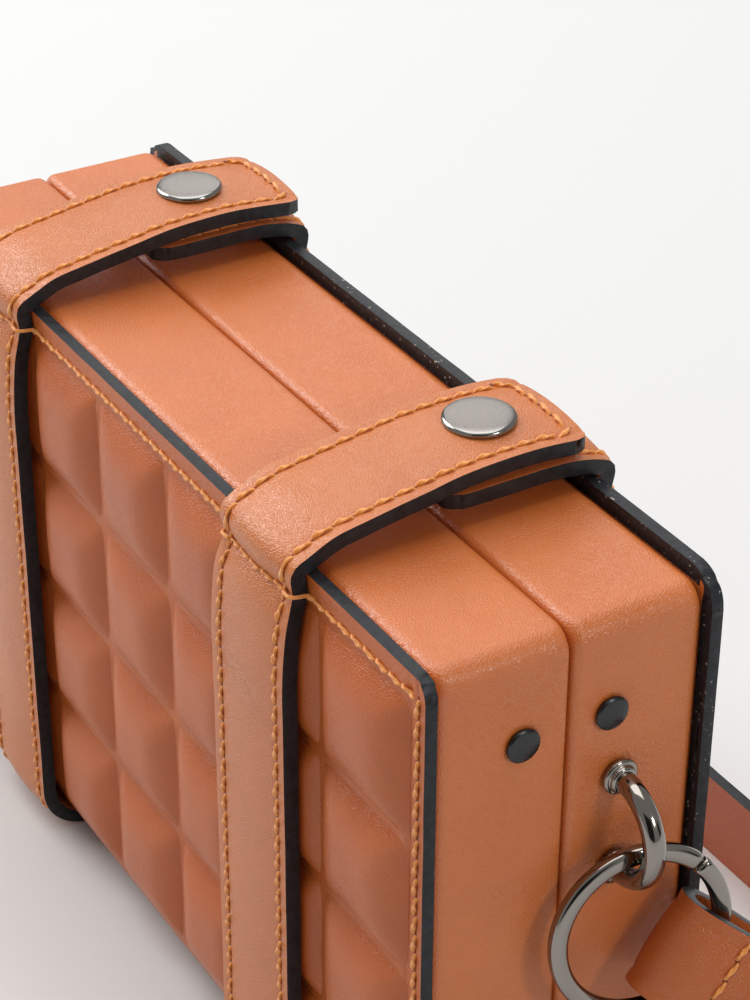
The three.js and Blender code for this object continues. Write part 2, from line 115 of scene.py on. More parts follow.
def rodAlongX(sides, steps):
    bpy.ops.mesh.primitive_cylinder_add(vertices=sides, radius=1, depth=2, rotation=(0, math.pi / 2, 0))
    rod = bpy.context.object
    placed(rod)
    chooseEdges(rod, lambda a, b: abs(a.co.x - b.co.x) > 1)
    bpy.ops.mesh.subdivide(number_cuts=steps - 1)
    bpy.ops.object.mode_set(mode="OBJECT")
    return rod


# The box's main sizes in millimetres. Y counts from the seam between the half boxes.
seamY = (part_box("front_half_box")[1].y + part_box("back_half_box")[0].y) / 2
box = {
    "halfDepth": 28.25,
    "halfLength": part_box("front_panel")[1].x / mm,
    "frontTop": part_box("front_panel")[1].z / mm,
    "backTop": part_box("back_panel")[1].z / mm,
    "endX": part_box("back_half_box")[1].x / mm,
    "panelBottom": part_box("front_panel")[0].z / mm,
    "panelThickness": 2.3,
    "panelTuck": 10,
    "panelBend": 5.2,
    "clearance": 0.3,
}

# Fittings in the ends, which the leather round them gives way to
rivets = {"z": 104.5, "frontY": -9.2, "backY": 7.9, "dentRadius": 7.5, "dentDepth": 0.45}
bail = {
    "y": 10.0,
    "z": box["frontTop"] - 41.6,
    "spread": 9.4,
    "reach": 11.1,
    "wire": 1.8,
    "foot": 1.75,
    "dentRadius": 8,
    "dentDepth": 0.4,
}


# Camera, at the photograph's place. Millimetres and degrees.
camera = {
    "place": (376.4, -203.65, 358.7),
    "azimuth": 58.96,
    "elevation": 31.71,
    "roll": 0.275,
    "lens": 96.16,
    "sensor": 36,
    "nearest": 0.01,
}


def makeCamera():
    x, y, z = camera["place"]
    bpy.ops.object.camera_add(location=(x * mm, seamY + y * mm, z * mm))
    eye = bpy.context.object
    turn = math.radians(camera["azimuth"])
    dip = math.radians(camera["elevation"])
    look = Vector((-math.sin(turn) * math.cos(dip), math.cos(turn) * math.cos(dip), -math.sin(dip)))
    eye.rotation_mode = "QUATERNION"
    roll = Quaternion((0, 0, 1), math.radians(camera["roll"]))
    eye.rotation_quaternion = look.to_track_quat("-Z", "Y") @ roll
    eye.data.lens = camera["lens"]
    eye.data.sensor_width = camera["sensor"]
    eye.data.clip_start = camera["nearest"]
    bpy.context.scene.camera = eye


# Studio: a pale floor, a pale room and soft lamps. Powers are in watts, sizes in metres.
studio = {
    "floorSize": 8.0,
    "floorTone": (0.64, 0.64, 0.636),
    "roomTone": (1.0, 0.995, 0.98),
    "roomStrength": 0.36,
    "aim": (0, 0, 0.06),
    "lamps": [
        {"place": (-0.5, 0.2, 3.0), "size": 2.8, "power": 62},
        {"place": (-1.6, -0.72, 1.18), "size": 1.35, "power": 30},
        {"place": (-1.7, 1.0, 1.25), "size": 1.2, "power": 6},
        {"place": (1.8, 0.6, 1.1), "size": 0.4, "power": 9},
    ],
    # dark cards give the metal and the padding something to mirror
    "cards": [
        {"place": (1.5, -0.9, 0.5), "size": 1.5},
        {"place": (0.9, 0.75, 0.25), "size": 0.35},
        {"place": (-1.5, -1.4, 0.05), "size": 1.1},
    ],
}


def aimed(piece, place, front):
    piece.rotation_mode = "QUATERNION"
    piece.rotation_quaternion = (Vector(studio["aim"]) - Vector(place)).to_track_quat(front, "Y")


def makeStudio():
    freshStart()
    bpy.ops.mesh.primitive_plane_add(size=studio["floorSize"], location=(0, 0, 0))
    floor = bpy.context.object
    floor.name = "floor"
    paper = newMaterial("paper_floor", studio["floorTone"], 0.75)
    floor.data.materials.append(paper)
    world = bpy.data.worlds.new("room")
    world.use_nodes = True
    walls = world.node_tree.nodes["Background"]
    walls.inputs["Color"].default_value = (*studio["roomTone"], 1)
    walls.inputs["Strength"].default_value = studio["roomStrength"]
    bpy.context.scene.world = world
    for lamp in studio["lamps"]:
        bpy.ops.object.light_add(type="AREA", location=lamp["place"])
        light = bpy.context.object
        light.data.energy = lamp["power"]
        light.data.size = lamp["size"]
        aimed(light, lamp["place"], "-Z")
    black = newMaterial("black_card", (0.01, 0.01, 0.01), 0.9)
    for card in studio["cards"]:
        freshStart()
        bpy.ops.mesh.primitive_plane_add(size=card["size"], location=card["place"])
        sheet = bpy.context.object
        sheet.name = "dark_card"
        aimed(sheet, card["place"], "Z")
        placed(sheet)
        sheet.data.materials.append(black)
        sheet.visible_shadow = False
        sheet.visible_diffuse = False
    bpy.context.scene.view_settings.view_transform = "Standard"


# Materials


def newMaterial(name, tone, roughness, metallic=0.0):
    material = bpy.data.materials.new(name)
    material.use_nodes = True
    shader = shaderOf(material)
    shader.inputs["Base Color"].default_value = (*tone, 1)
    shader.inputs["Roughness"].default_value = roughness
    shader.inputs["Metallic"].default_value = metallic
    return material


def addNode(material, kind, **sockets):
    node = material.node_tree.nodes.new(kind)
    for name, value in sockets.items():
        node.inputs[name].default_value = value
    return node


def join(material, source, output, target, socket):
    material.node_tree.links.new(source.outputs[output], target.inputs[socket])


def noiseOf(material, size, **sockets):
    grain = addNode(material, "ShaderNodeTexNoise", Scale=1 / (size * mm), **sockets)
    join(material, addNode(material, "ShaderNodeTexCoord"), "Object", grain, "Vector")
    return grain


def addBump(material, source, output, depth, strength=1.0, below=None):
    bump = addNode(material, "ShaderNodeBump", Strength=strength, Distance=depth * mm)
    join(material, source, output, bump, "Height")
    if below:
        join(material, below, "Normal", bump, "Normal")
    join(material, bump, "Normal", shaderOf(material), "Normal")
    return bump


def shaderOf(material):
    return material.node_tree.nodes["Principled BSDF"]


def ramp(material, source, output, *stops):
    node = addNode(material, "ShaderNodeValToRGB")
    elements = node.color_ramp.elements
    while len(elements) < len(stops):
        elements.new(0.5)
    for element, (place, tone) in zip(elements, stops):
        element.position = place
        element.color = (*tone, 1)
    join(material, source, output, node, "Fac")
    return node


# Sizes and depths in millimetres
leather = {
    "grainSize": 0.55,
    "grainDepth": 0.045,
    "creaseSize": 3.2,
    "creaseDepth": 0.035,
    "poreSize": 0.16,
    "poreDepth": 0.012,
    "mottleSize": 14,
    "puckerSize": 1.5,
    "puckerDepth": 0.3,
    "puckerReach": 11,
    "puckerCore": 0.3,
    "roughness": 0.31,
    "polished": 0.05,
    "rubbed": 0.06,
    "sheen": 0.02,
    "sheenRoughness": 0.45,
    "sheenTint": (1.0, 0.82, 0.74, 1),
}


def nearMask(material, points, radius):
    place = addNode(material, "ShaderNodeTexCoord")
    nearest = None
    for point in points:
        away = addNode(material, "ShaderNodeVectorMath")
        away.operation = "DISTANCE"
        away.inputs[1].default_value = point
        join(material, place, "Object", away, 0)
        if nearest:
            least = addNode(material, "ShaderNodeMath")
            least.operation = "MINIMUM"
            join(material, nearest, "Value", least, 0)
            join(material, away, "Value", least, 1)
            nearest = least
        else:
            nearest = away
    mask = addNode(material, "ShaderNodeMapRange")
    mask.inputs["From Min"].default_value = radius * mm
    mask.inputs["From Max"].default_value = leather["puckerCore"] * radius * mm
    join(material, nearest, "Value", mask, "Value")
    return mask


def addPuckers(material, points):
    grain = shaderOf(material).inputs["Normal"].links[0].from_node
    folds = noiseOf(material, leather["puckerSize"], Detail=2.0, Distortion=1.2)
    mask = nearMask(material, points, leather["puckerReach"])
    height = addNode(material, "ShaderNodeMath")
    height.operation = "MULTIPLY"
    join(material, folds, "Fac", height, 0)
    join(material, mask, "Result", height, 1)
    addBump(material, height, "Value", leather["puckerDepth"], below=grain)


def leatherMaterial(name, dark, light, grain=1.0, gloss=0.75):
    material = newMaterial(name, light, leather["roughness"])
    shader = shaderOf(material)
    shader.inputs["Specular IOR Level"].default_value = gloss
    shader.inputs["Sheen Weight"].default_value = leather["sheen"]
    shader.inputs["Sheen Roughness"].default_value = leather["sheenRoughness"]
    shader.inputs["Sheen Tint"].default_value = leather["sheenTint"]
    mottle = noiseOf(material, leather["mottleSize"], Detail=3.0)
    tone = ramp(material, mottle, "Fac", (0.3, dark), (0.7, light))
    join(material, tone, "Color", shader, "Base Color")
    smooth = (leather["roughness"] - leather["polished"],) * 3
    rough = (leather["roughness"] + leather["rubbed"],) * 3
    wear = ramp(material, mottle, "Fac", (0.25, smooth), (0.75, rough))
    join(material, wear, "Color", shader, "Roughness")
    pebbles = addNode(material, "ShaderNodeTexVoronoi", Scale=1 / (leather["grainSize"] * mm), Randomness=1.0)
    pebbles.feature = "DISTANCE_TO_EDGE"
    warp = noiseOf(material, leather["grainSize"] * 3, Detail=2.0)
    shift = addNode(material, "ShaderNodeVectorMath")
    shift.operation = "MULTIPLY_ADD"
    shift.inputs[1].default_value = (leather["grainSize"] * 0.9 * mm,) * 3
    join(material, warp, "Color", shift, 0)
    join(material, addNode(material, "ShaderNodeTexCoord"), "Object", shift, 2)
    join(material, shift, "Vector", pebbles, "Vector")
    cushions = ramp(material, pebbles, "Distance", (0.0, (0, 0, 0)), (0.28, (1, 1, 1)))
    cushions.color_ramp.interpolation = "EASE"
    pores = noiseOf(material, leather["poreSize"], Detail=2.0)
    creases = noiseOf(material, leather["creaseSize"], Detail=2.0, Distortion=0.2)
    bump = addBump(material, creases, "Fac", leather["creaseDepth"])
    bump = addBump(material, pores, "Fac", leather["poreDepth"], below=bump)
    addBump(material, cushions, "Color", leather["grainDepth"] * grain, below=bump)
    return material


def paintMaterial(name, chipped=False):
    material = newMaterial(name, (0.016, 0.018, 0.021), 0.4)
    shaderOf(material).inputs["Specular IOR Level"].default_value = 0.26
    brush = noiseOf(material, 0.8 if chipped else 1.6, Detail=3.0)
    stops = [(0.35, (0.011, 0.012, 0.014)), (0.6, (0.02, 0.022, 0.026))]
    if chipped:  # the pale board shows through
        stops += [(0.66, (0.02, 0.02, 0.022)), (0.71, (0.4, 0.37, 0.34))]
    tone = ramp(material, brush, "Fac", *stops)
    join(material, tone, "Color", shaderOf(material), "Base Color")
    addBump(material, brush, "Fac", 0.045)
    return material


def threadMaterial():
    material = newMaterial("stitching_thread", (0.82, 0.3, 0.05), 0.42)
    shaderOf(material).inputs["Sheen Weight"].default_value = 0.3
    fibre = noiseOf(material, 0.22, Detail=2.0)
    tone = ramp(material, fibre, "Fac", (0.3, (0.7, 0.2, 0.025)), (0.7, (0.92, 0.4, 0.085)))
    join(material, tone, "Color", shaderOf(material), "Base Color")
    addBump(material, fibre, "Fac", 0.05, 0.8)
    return material


def metalMaterial(name, tone, roughness, scratchSize, scratchDepth):
    material = newMaterial(name, tone, roughness, 1.0)
    haze = noiseOf(material, scratchSize, Detail=3.0)
    polish = ramp(material, haze, "Fac", (0.3, (roughness * 0.75,) * 3), (0.75, (roughness * 1.3,) * 3))
    join(material, polish, "Color", shaderOf(material), "Roughness")
    addBump(material, haze, "Fac", scratchDepth)
    return material


tanLeather = leatherMaterial("tan_leather", (0.55, 0.136, 0.024), (0.6, 0.157, 0.031))
shoulderLeather = leatherMaterial("shoulder_leather", (0.45, 0.098, 0.017), (0.5, 0.12, 0.024), 1.0, 0.7)
quiltLeather = leatherMaterial("quilted_leather", (0.45, 0.097, 0.016), (0.51, 0.12, 0.023), 0.8, 0.42)
strapLeather = leatherMaterial("strap_leather", (0.52, 0.142, 0.03), (0.57, 0.167, 0.042), 1.15, 0.68)
bailFeet = [
    (side * box["endX"] * mm, seamY + bail["y"] * mm, (bail["z"] + bail["spread"] * way) * mm)
    for side in (-1, 1) for way in (-1, 1)
]
addPuckers(tanLeather, bailFeet)
edgePaint = paintMaterial("edge_paint")
chippedPaint = paintMaterial("chipped_edge_paint", True)
thread = threadMaterial()
# needle holes: flat dark-brown discs, painted shade standing in for the depth of each hole
holeShade = newMaterial("needle_hole_shade", (0.16, 0.03, 0.008), 0.9)
satinNickel = metalMaterial("satin_nickel", (0.289, 0.263, 0.246), 0.34, 0.35, 0.004)
nickelRim = metalMaterial("polished_nickel", (0.3, 0.29, 0.275), 0.14, 0.8, 0.002)
blackNickel = metalMaterial("black_nickel", (0.055, 0.056, 0.058), 0.26, 0.5, 0.0008)
gunmetal = metalMaterial("gunmetal", (0.3, 0.272, 0.245), 0.1, 2.2, 0.006)
print("materials made")


# Tracks: a line through space with the direction of a strip's width, in millimetres


def smoothLine(points, steps=10):
    ends = [2 * points[0] - points[1], *points, 2 * points[-1] - points[-2]]
    line = []
    for a, b, c, d in zip(ends, ends[1:], ends[2:], ends[3:]):
        for i in range(steps):
            t = i / steps
            square, cube = 2 * a - 5 * b + 4 * c - d, 3 * b - a - 3 * c + d
            line.append(0.5 * (2 * b + (c - a) * t + square * t**2 + cube * t**3))
    return [*line, points[-1]]


def arcLine(centre, radius, start, end, steps):
    angles = [math.radians(start + (end - start) * i / steps) for i in range(steps + 1)]
    return [Vector((0, centre[0] + radius * math.cos(a), centre[1] + radius * math.sin(a))) for a in angles]


def makeTrack(places, widths):
    lengths = [0.0]
    for a, b in zip(places, places[1:]):
        lengths.append(lengths[-1] + (b - a).length)
    ends = [2 * places[0] - places[1], *places, 2 * places[-1] - places[-2]]
    track = {"length": lengths[-1], "s": lengths, "place": places, "along": [], "width": [], "out": []}
    for i, width in enumerate(widths):
        along = ((ends[i + 1] - ends[i]).normalized() + (ends[i + 2] - ends[i + 1]).normalized()).normalized()
        across = (width - along * width.dot(along)).normalized()
        track["along"].append(along)
        track["width"].append(across)
        track["out"].append(across.cross(along))
    return track


def onTrack(track, s, v, h):
    i = min(max(bisect.bisect_right(track["s"], s) - 1, 0), len(track["s"]) - 2)
    a, b = track["s"][i], track["s"][i + 1]
    t = (s - a) / (b - a)
    place = track["place"][i].lerp(track["place"][i + 1], t)
    t = min(max(t, 0), 1)
    pinch = track.get("pinch")
    if pinch:
        v *= 1 - pinch["narrow"] * hump(s - pinch["s"], pinch["reach"])
    across = track["width"][i].lerp(track["width"][i + 1], t)
    out = track["out"][i].lerp(track["out"][i + 1], t)
    x, y, z = place + across * v + out * h
    return Vector((x * mm, seamY + y * mm, z * mm))


def bendAlong(piece, track):
    for vertex in piece.data.vertices:
        vertex.co = onTrack(track, *(vertex.co / mm))
    piece.data.update()


# Leather strips: modelled flat, u along and v across in millimetres, then bent along a track


def flatStrip(
    name, finish, length, width, thickness, cells, relief, tipRadius,
    crowd=0.0, paintWidth=0.8, wrap=1, backRim=0.0,
):
    freshStart()
    bpy.ops.mesh.primitive_grid_add(x_subdivisions=cells[0], y_subdivisions=cells[1], size=2)
    strip = bpy.context.object
    strip.name = name
    half = width / 2
    for vertex in strip.data.vertices:
        share = vertex.co.y
        v = half * (share + crowd * math.sin(math.pi * share) / math.pi)
        along = (vertex.co.x + 1) / 2
        u = length * (along + crowd * 0.5 * math.sin(2 * math.pi * along) / math.pi / 2)
        left = length - u
        if left < tipRadius:  # the corners at the tip are round
            over = max(abs(v) - (half - tipRadius), 0)
            u += (tipRadius - left) * (math.sqrt(max(tipRadius**2 - over**2, 0)) / tipRadius - 1)
        vertex.co = Vector((u, v, relief(u, v) + thickness / 2)) * mm
    strip.data.update()
    faceVertices = len(strip.data.vertices)
    applied(strip, "SOLIDIFY", thickness=thickness * mm, offset=-1)
    for vertex in strip.data.vertices[faceVertices:]:  # the back stays flat under a domed face
        vertex.co.z = -thickness / 2 * mm
    strip.data.materials.append(finish)
    strip.data.materials.append(edgePaint)
    facesOfEdge = {}
    for face in strip.data.polygons:
        fronts = [i < faceVertices for i in face.vertices]
        face.material_index = 1 if any(fronts) and not all(fronts) else 0
        for key in face.edge_keys:
            facesOfEdge.setdefault(key, set()).add(face.material_index)
    weight = strip.data.attributes.new("bevel_weight_edge", "FLOAT", "EDGE")
    for edge in strip.data.edges:
        weight.data[edge.index].value = len(facesOfEdge[edge.key]) - 1.0
    applied(strip, "BEVEL", width=paintWidth * mm, segments=4, limit_method="WEIGHT", material=wrap)
    if backRim:
        strip.data.materials.append(chippedPaint)
    for face in strip.data.polygons:  # the paint runs on to the back's margin
        u, v, h = face.center / mm
        if h < 0 and max(u - length, abs(v) - half) > -backRim:
            face.material_index = 2
    return strip


# Stitches: one short twisted thread, repeated along lines on a strip. Angles are in degrees.
stitch = {
    "pitch": 3.9,
    "length": 4.0,
    "radius": 0.46,
    "rise": 0.32,
    "taper": 0.45,
    "flatness": 0.62,
    "dip": 1.8,
    "slant": 9,
    "wander": 5,
    "looseness": 0.15,
    "turns": 0.9,
    "rings": 12,
    "sides": 8,
    "holeRadius": 0.36,
    "holeStretch": 1.25,
    "holeRise": 0.03,
    "holeSides": 8,
    "cornerRadius": 1.6,
}


def stitchShape():
    freshStart()
    shape = rodAlongX(stitch["sides"], stitch["rings"])
    for vertex in shape.data.vertices:
        x, y, z = vertex.co
        turn = x * stitch["turns"] * math.pi
        thick = stitch["radius"] * (1 - stitch["taper"] * abs(x) ** 4)
        flat = stitch["flatness"] * z * thick
        wide = y * thick
        vertex.co = (
            x * stitch["length"] / 2,
            wide * math.cos(turn) - flat * math.sin(turn),
            wide * math.sin(turn) + flat * math.cos(turn)
            + stitch["rise"] * (1 - stitch["dip"] * abs(x) ** 5),
        )
    corners = [vertex.co.copy() for vertex in shape.data.vertices]
    faces = [tuple(face.vertices) for face in shape.data.polygons]
    bpy.data.objects.remove(shape)
    return corners, faces


stitchCorners, stitchFaces = stitchShape()


def pointsAlong(line, pitch):
    lengths = [0.0]
    for a, b in zip(line, line[1:]):
        lengths.append(lengths[-1] + math.dist(a, b))
    count = max(round(lengths[-1] / pitch), 1)
    found = []
    for k in range(count):
        s = (k + 0.5) * lengths[-1] / count
        i = min(bisect.bisect_right(lengths, s) - 1, len(line) - 2)
        t = (s - lengths[i]) / (lengths[i + 1] - lengths[i])
        (ua, va), (ub, vb) = line[i], line[i + 1]
        found.append((ua + (ub - ua) * t, va + (vb - va) * t, math.atan2(vb - va, ub - ua)))
    return found


def layStitches(name, track, lines, relief, thickness):
    half = thickness / 2
    corners, faces, holes = [], [], []
    for line in lines:
        for u, v, heading in pointsAlong(line, stitch["pitch"]):
            jitter = noise.noise(Vector((u * 1.7, v * 1.3, 5.0)))
            turn = heading + math.radians(stitch["slant"] + stitch["wander"] * jitter)
            first = len(corners)
            for x, y, z in stitchCorners:
                du = x * math.cos(turn) - y * math.sin(turn)
                dv = x * math.sin(turn) + y * math.cos(turn)
                lift = relief(u + du, v + dv) + half + z * (1 + stitch["looseness"] * jitter)
                corners.append(onTrack(track, u + du, v + dv, lift))
            faces += [tuple(first + i for i in face) for face in stitchFaces]
            # a flat disc at each needle hole between stitches, coloured with painted shade for the hole
            pu = u + stitch["pitch"] / 2 * math.cos(heading)
            pv = v + stitch["pitch"] / 2 * math.sin(heading)
            first = len(corners)
            for k in range(stitch["holeSides"]):
                angle = k * 2 * math.pi / stitch["holeSides"]
                hu = pu + stitch["holeRadius"] * stitch["holeStretch"] * math.cos(angle)
                hv = pv + stitch["holeRadius"] * math.sin(angle)
                corners.append(onTrack(track, hu, hv, relief(hu, hv) + half + stitch["holeRise"]))
            holes.append(len(faces))
            faces.append(tuple(range(first, first + stitch["holeSides"])))
    mesh = bpy.data.meshes.new(name)
    mesh.from_pydata(corners, [], faces)
    mesh.materials.append(thread)
    mesh.materials.append(holeShade)
    for index in holes:
        mesh.polygons[index].material_index = 1
    stitches = bpy.data.objects.new(name, mesh)
    bpy.context.collection.objects.link(stitches)
    return stitches


# Straps over the box and the tabs that they close on
straps = {
    "width": 24.6,
    "thickness": 2.8,
    "spacing": 105.2,
    "rise": 9.5,
    "bend": 9.6,
    "tabBend": 6.9,
    "standOff": 2.65,
    "pinch": 20,
    "turn": 1.9,
    "endFromSeam": 8,
    "tipRadius": 3,
    "seamInset": 2.7,
    "seamStart": 4,
    "dome": 0.7,
    "grooveDepth": 0.3,
    "grooveWidth": 0.5,
    "uneven": 0.1,
    "cell": 0.8,
    "cellsAcross": 42,
    "leftTip": (1.035, 0.84),
    "ease": 8,
    "pinchBelowTop": 3.9,
    "pinchNarrow": 0.055,
    "pinchReach": 4.5,
    "creaseDepth": 0.75,
    "creaseWidth": 1.1,
    "swellHeight": 0.45,
    "swellAway": 5,
    "swellWidth": 3.2,
    # share of the box's depth, share of the rise
    "overTop": (
        (0.03, 0.32), (0.095, 0.5), (0.19, 0.61), (0.3, 0.72), (0.4, 0.81), (0.515, 0.92),
        (0.64, 0.97), (0.8, 0.97), (0.96, 0.88),
    ),
    "tabOverTop": (
        (0.042, 0.42), (0.113, 0.5), (0.2, 0.525), (0.29, 0.52), (0.388, 0.515), (0.464, 0.52),
        (0.54, 0.56),
    ),
}


def strapLine(standOff, bend, top, table):
    half = straps["thickness"] / 2
    face = box["halfDepth"] + standOff + half
    pinched = box["halfDepth"] + box["clearance"] + half
    start = Vector((0, -straps["endFromSeam"], half))
    line = [start.lerp(Vector((0, -face + bend, half)), i / 6) for i in range(6)]
    line += arcLine((-face + bend, half + bend), bend, 270, 180, 12)
    pinchFoot = top - straps["pinch"]
    straightEnd = pinchFoot - straps["ease"]
    line += [Vector((0, -face, bend + half + (straightEnd - bend - half) * i / 30)) for i in range(1, 30)]
    above = [Vector((0, -face, straightEnd)), Vector((0, -face, pinchFoot))]
    above.append(Vector((0, -face + (face - pinched) * 0.3, top - straps["pinch"] * 0.55)))
    above.append(Vector((0, -pinched, top - straps["pinch"] * 0.2)))
    above += arcLine((-box["halfDepth"], top), straps["turn"], 180, 100, 2)
    for back, up in table:
        y = -box["halfDepth"] + back * 2 * box["halfDepth"]
        above.append(Vector((0, y, box["frontTop"] + up * straps["rise"])))
    return line + smoothLine(above)


def strapRelief(u, v, crease):
    half = straps["width"] / 2
    seam = half - straps["seamInset"]
    inner = min(abs(v) / (seam - 0.6), 1)
    dome = straps["dome"] * (1 - inner**2)
    groove = straps["grooveDepth"] * hump(abs(v) - seam, straps["grooveWidth"])
    uneven = straps["uneven"] * noise.noise(Vector((u / 11, v / 8, 3.0)))
    away = abs(u - crease)
    fold = straps["creaseDepth"] * math.exp(-away / straps["creaseWidth"])
    fold -= straps["swellHeight"] * hump(away - straps["swellAway"], straps["swellWidth"])
    uneven -= fold * (1 - 0.75 * min(abs(v) * 2 / straps["width"], 1) ** 4)
    return dome - groove + uneven


def roundTurn(length):
    start, inset = straps["seamStart"], straps["seamInset"]
    half = straps["width"] / 2 - inset
    end = length - inset
    r = stitch["cornerRadius"]
    line = [(start, half), (end - r, half)]
    for a in (math.pi / 8, math.pi / 4, math.pi * 3 / 8):
        line.append((end - r + r * math.sin(a), half - r + r * math.cos(a)))
    line += [(end, half - r)]
    return line + [(u, -v) for u, v in reversed(line)]


def bridgeThread(name, track, s, sign):
    half = straps["width"] / 2 * (1 - straps["pinchNarrow"])
    rise = straps["thickness"] / 2
    points = [(half - 2.4, rise + 0.25), (half - 1, rise + 0.42), (half - 0.15, rise + 0.25)]
    points += [(half + 0.35, 0.3), (half + 0.55, -rise + 0.2), (half + 1.2, -rise - 0.05)]
    points += [(half + 2.3, -rise - 0.25)]
    free = {key: value for key, value in track.items() if key != "pinch"}
    places = [onTrack(free, s, sign * v, h) / mm - Vector((0, seamY / mm, 0)) for v, h in points]
    places = smoothLine(places, 5)
    line = makeTrack(places, [Vector((0, 0, 1))] * len(places))
    wire = bentWire(name, line, stitch["radius"] * 0.7, 3, len(places), 10)
    wire.data.materials.append(thread)
    return wire


def makeStraps():
    for side, x in (("left", -straps["spacing"] / 2), ("right", straps["spacing"] / 2)):
        for name, body, table, top, standOff, bend, facing in (
            (
                f"front_strap_{side}", "front_half", "overTop", box["frontTop"],
                straps["standOff"], straps["bend"], 1,
            ),
            (
                f"back_tab_{side}", "back_half", "tabOverTop", box["backTop"],
                box["clearance"], straps["tabBend"], -1,
            ),
        ):
            overTop = straps[table]
            if name == "front_strap_left":
                overTop = (*overTop[:-1], straps["leftTip"])
            places = strapLine(standOff, bend, top, overTop)
            places = [Vector((x, facing * place.y, place.z)) for place in places]
            track = makeTrack(places, [Vector((facing, 0, 0))] * len(places))
            length = track["length"]
            wanted = top - straps["pinchBelowTop"]
            crease = next(s for s, place in zip(track["s"], places) if place.z > wanted)
            track["pinch"] = {
                "s": crease, "narrow": straps["pinchNarrow"], "reach": straps["pinchReach"],
            }

            def relief(u, v, crease=crease):
                return strapRelief(u, v, crease)

            strap = flatStrip(
                f"{name}_leather", strapLeather, length, straps["width"], straps["thickness"],
                (int(length / straps["cell"]), straps["cellsAcross"]), relief,
                straps["tipRadius"],
            )
            bendAlong(strap, track)
            settled(strap, body, "strap_leather", name)
            across = straps["width"] / 2 - straps["seamInset"] + 0.4
            lines = [roundTurn(length), [(crease, -across), (crease, across)]]
            seam = layStitches(f"{name}_stitches", track, lines, relief, straps["thickness"])
            settled(seam, body, "strap_leather")
            for sign in (-1, 1):
                settled(bridgeThread(f"{name}_bridge", track, crease, sign), body, "strap_leather")
    print("straps made")


# Half boxes: an outline drawn out along Y ring by ring, in and out again for the wall
halfBoxes = {
    "wall": 3.0,
    "cornerRadius": 4.0,
    "panelEdge": 2.6,
    "seamEdge": 1.8,
    "cell": 1.5,
    "cutsAlong": 130,
    "cutsUp": 74,
    "cornerSegments": 7,
    "rim": 0.4,
}


def wallSection(depth):
    wall, outer, seam = halfBoxes["wall"], halfBoxes["panelEdge"], halfBoxes["seamEdge"]
    rim = halfBoxes["rim"]
    section = []
    for i in range(7):
        a = math.pi / 2 * i / 6
        section.append((outer * (1 - math.sin(a)), outer * (1 - math.cos(a))))
    count = int((depth - outer - seam) / halfBoxes["cell"])
    section += [(0, outer + (depth - outer - seam) * i / count) for i in range(1, count)]
    for i in range(6):
        a = math.pi / 2 * i / 5
        section.append((seam * (1 - math.cos(a)), depth - seam * (1 - math.sin(a))))
    section += [(wall - rim, depth), (wall, depth - rim), (wall, depth / 2)]
    return [*section, (wall, rim), (wall - rim, 0)]


def makeHalfBox(half, facing):
    lo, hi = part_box(f"{half}_half_box")
    middle, size = (lo + hi) / 2, (hi - lo) / mm
    section = wallSection(size.y)
    freshStart()
    bpy.ops.mesh.primitive_plane_add(size=2, rotation=(math.pi / 2, 0, 0))
    shell = bpy.context.object
    shell.name = f"{half}_half_leather"
    placed(shell)
    bpy.ops.object.mode_set(mode="EDIT")
    bpy.ops.transform.resize(value=((size.x / 2 - section[0][0]) * mm, 1, (size.z / 2 - section[0][0]) * mm))
    corner = halfBoxes["cornerSegments"]
    bpy.ops.mesh.bevel(offset=halfBoxes["cornerRadius"] * mm, segments=corner, affect="VERTICES")
    bpy.ops.mesh.delete(type="ONLY_FACE")
    bpy.ops.object.mode_set(mode="OBJECT")
    for axis, cuts in ((0, halfBoxes["cutsAlong"]), (2, halfBoxes["cutsUp"])):
        chooseEdges(shell, lambda a, b, axis=axis: abs(a.co[axis] - b.co[axis]) > 20 * mm)
        bpy.ops.mesh.subdivide(number_cuts=cuts)
        bpy.ops.mesh.select_all(action="DESELECT")
        bpy.ops.object.mode_set(mode="OBJECT")
    bpy.ops.object.mode_set(mode="EDIT")
    bpy.ops.mesh.select_all(action="SELECT")
    for (inset, depth), (nextInset, nextDepth) in zip(section, section[1:]):
        bpy.ops.mesh.extrude_region_move(TRANSFORM_OT_translate={"value": (0, (nextDepth - depth) * mm, 0)})
        wide = (size.x / 2 - nextInset) / (size.x / 2 - inset)
        tall = (size.z / 2 - nextInset) / (size.z / 2 - inset)
        bpy.ops.transform.resize(value=(wide, 1, tall), center_override=(0, 0, 0))
    bpy.ops.object.mode_set(mode="OBJECT")
    around = 2 * (halfBoxes["cutsAlong"] + 1) + 2 * (halfBoxes["cutsUp"] + 1) + 4 * corner
    last = len(shell.data.vertices) // around - 1
    chooseEdges(shell, lambda a, b: (a.index // around, b.index // around) in ((0, 0), (last, last)))
    bpy.ops.mesh.bridge_edge_loops()
    bpy.ops.mesh.select_all(action="SELECT")
    bpy.ops.mesh.normals_make_consistent(inside=False)
    bpy.ops.object.mode_set(mode="OBJECT")
    for vertex in shell.data.vertices:
        depth = vertex.co.y
        vertex.co.x += middle.x
        vertex.co.y = lo.y + depth if facing > 0 else hi.y - depth
        vertex.co.z += middle.z
    if facing < 0:
        onAllFaces(bpy.ops.mesh.flip_normals)
    shell.data.materials.append(tanLeather)
    return shell


def pressEnd(shell, y, z, radius, depth):
    for vertex in shell.data.vertices:
        if abs(vertex.co.x) < (box["endX"] - halfBoxes["wall"] + 0.1) * mm:
            continue
        away = math.hypot(vertex.co.y - seamY - y * mm, vertex.co.z - z * mm) / mm
        if away < radius:
            fall = 0.5 + 0.5 * math.cos(math.pi * away / radius)
            vertex.co.x -= math.copysign(depth * fall * mm, vertex.co.x)


